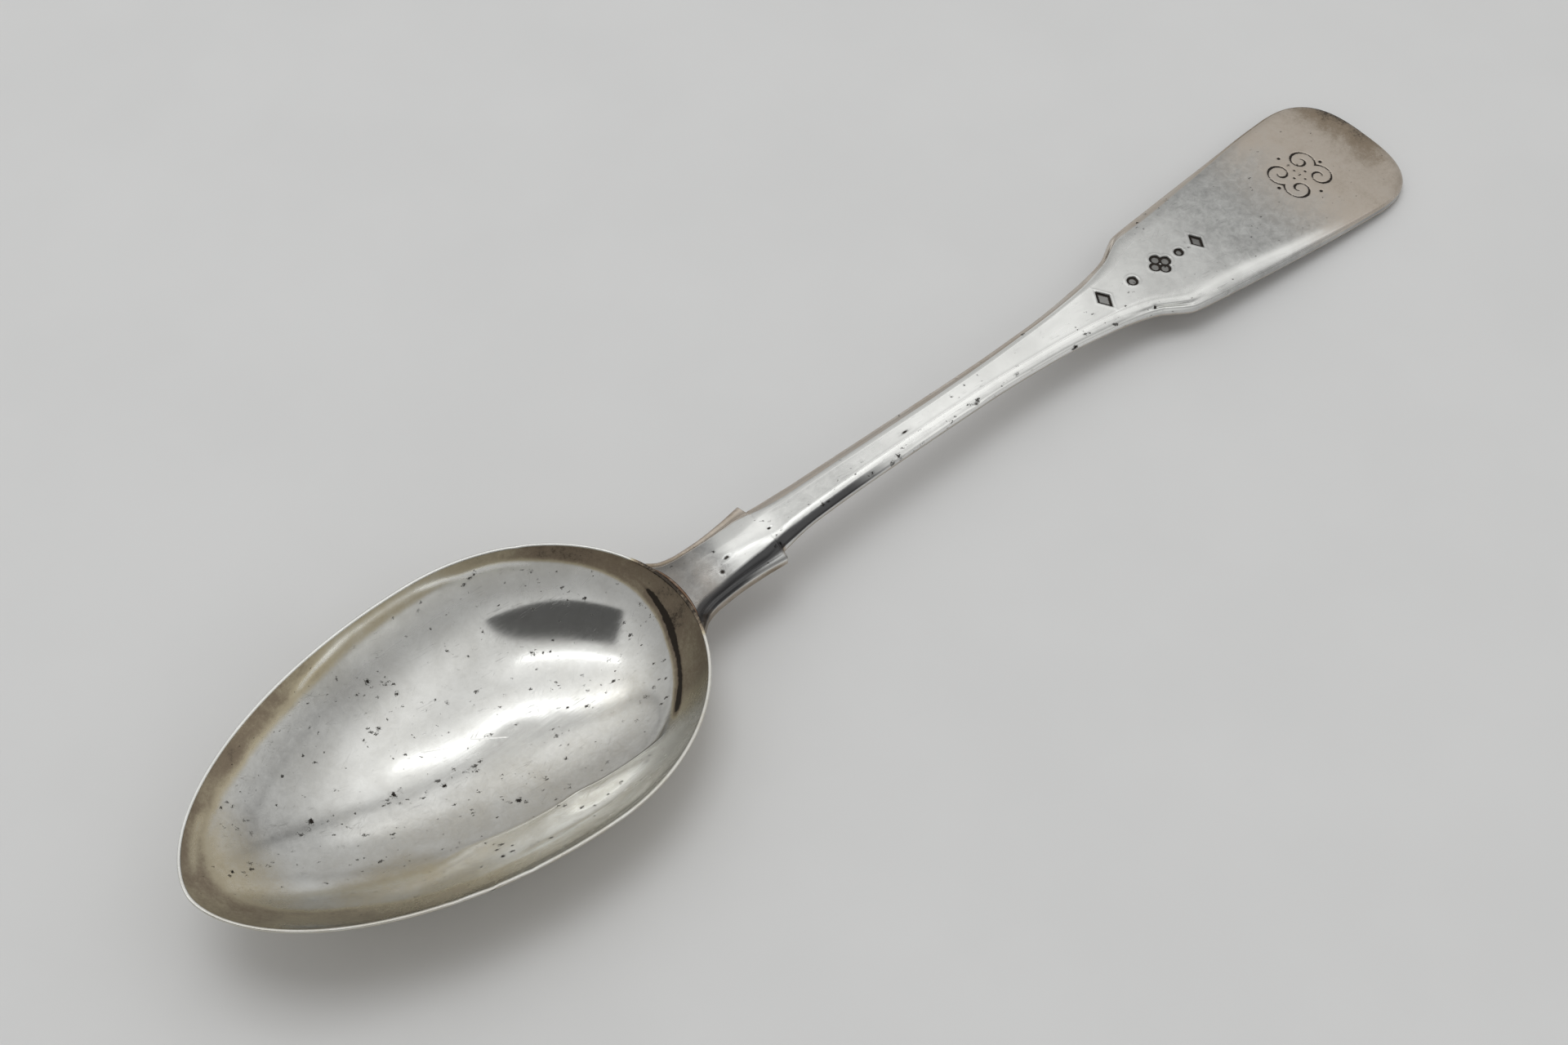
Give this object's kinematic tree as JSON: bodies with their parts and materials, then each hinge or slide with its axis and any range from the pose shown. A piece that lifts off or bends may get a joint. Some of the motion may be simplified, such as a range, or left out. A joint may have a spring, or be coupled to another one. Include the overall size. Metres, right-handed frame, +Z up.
{
  "type": "tablespoon",
  "caption": "Fiddle-pattern silver tablespoon with an egg-shaped bowl, spurred neck, slender bevelled stem and shouldered flat handle end, for eating and serving.",
  "frame": {"origin": "middle of the spoon's length and width, on the surface that it lies on", "axes": "+X from the bowl's tip to the handle's end, +Z up out of the bowl, +Y across the bowl"},
  "size_m": [0.222, 0.0472, 0.0192],
  "materials": {
    "bowl_silver": "worn polished silver with fine scratches, small dark pits and brown tarnish under the rim",
    "handle_silver": "worn satin silver with cloudy patches, rubbed bright edges and brown tarnish in the hollows",
    "solder": "hard solder, tarnished coppery brown"
  },
  "bodies": {
    "root": {"bowl": "bowl_silver", "handle": "handle_silver", "heel_drop": "handle_silver", "neck_solder": "solder", "drop_solder": "solder"}
  },
  "joints": []
}
